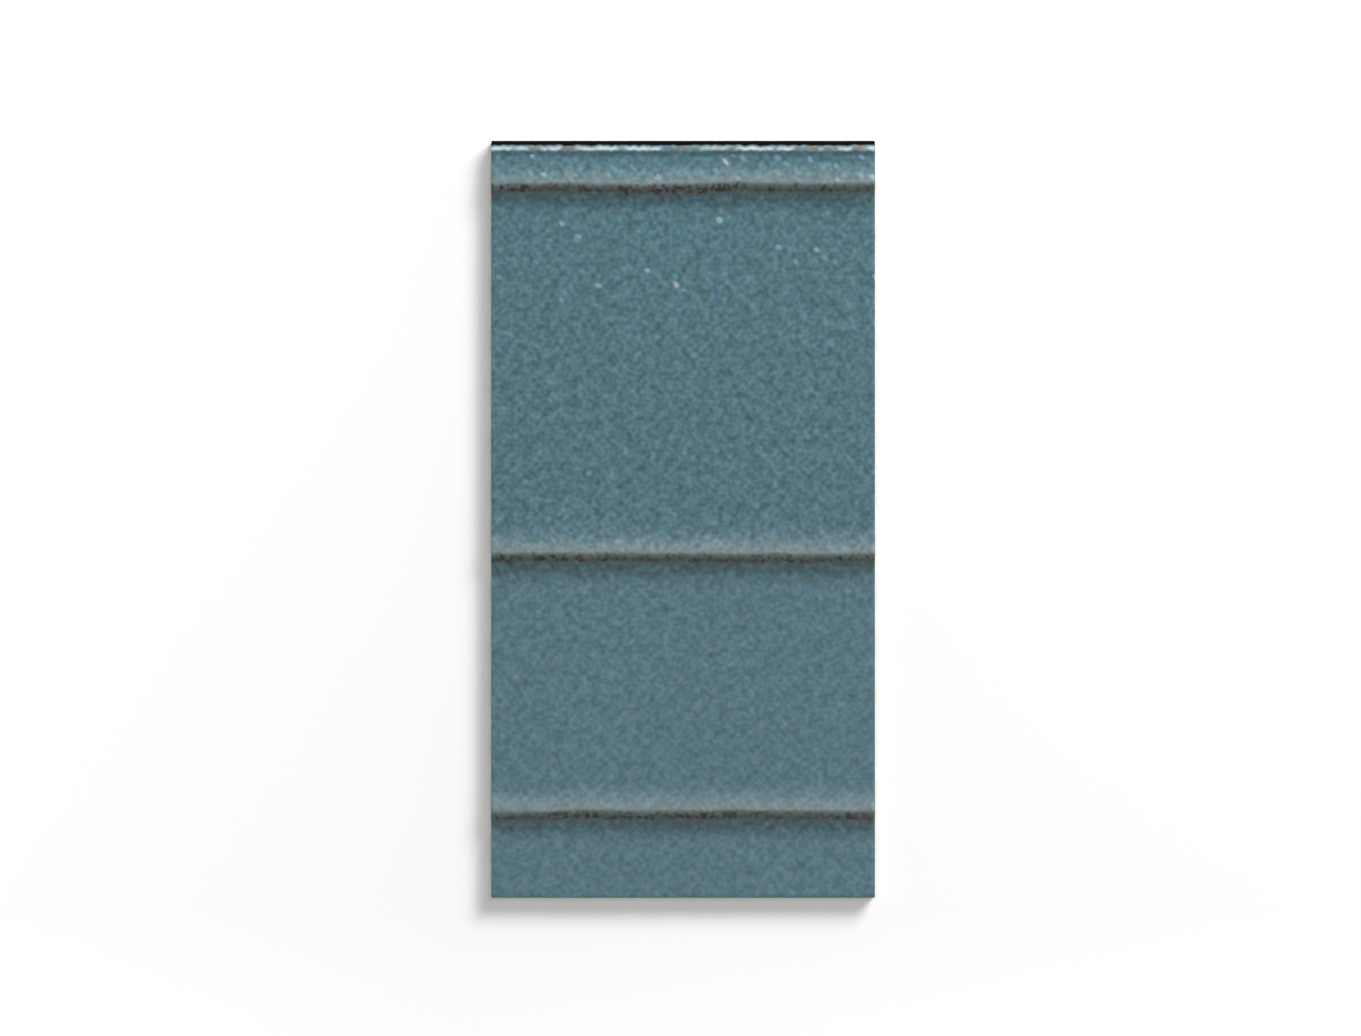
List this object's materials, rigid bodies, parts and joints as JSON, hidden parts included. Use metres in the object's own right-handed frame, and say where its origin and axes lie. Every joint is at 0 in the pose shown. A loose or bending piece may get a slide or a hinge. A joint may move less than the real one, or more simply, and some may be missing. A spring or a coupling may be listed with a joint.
{
  "type": "wall tile",
  "caption": "Rectangular glazed ceramic wall tile whose face is stepped into horizontal overlapping boards with flared lips, and whose back is grooved for adhesive.",
  "frame": {"origin": "middle of the flat back of the tile, which lies on the floor, glazed face up", "axes": "+Z out of the glazed face, +Y along the tile's length towards its top edge as it is set on a wall, +X across its width to the right as seen from the face"},
  "size_m": [0.152, 0.3, 0.0114],
  "materials": {
    "glazed_stoneware": "mottled blue-grey reactive glaze, semi-gloss, breaking brown at the steps and the top edge, over a plain fired clay body"
  },
  "bodies": {
    "root": {"wall_tile": "glazed_stoneware"}
  },
  "joints": []
}
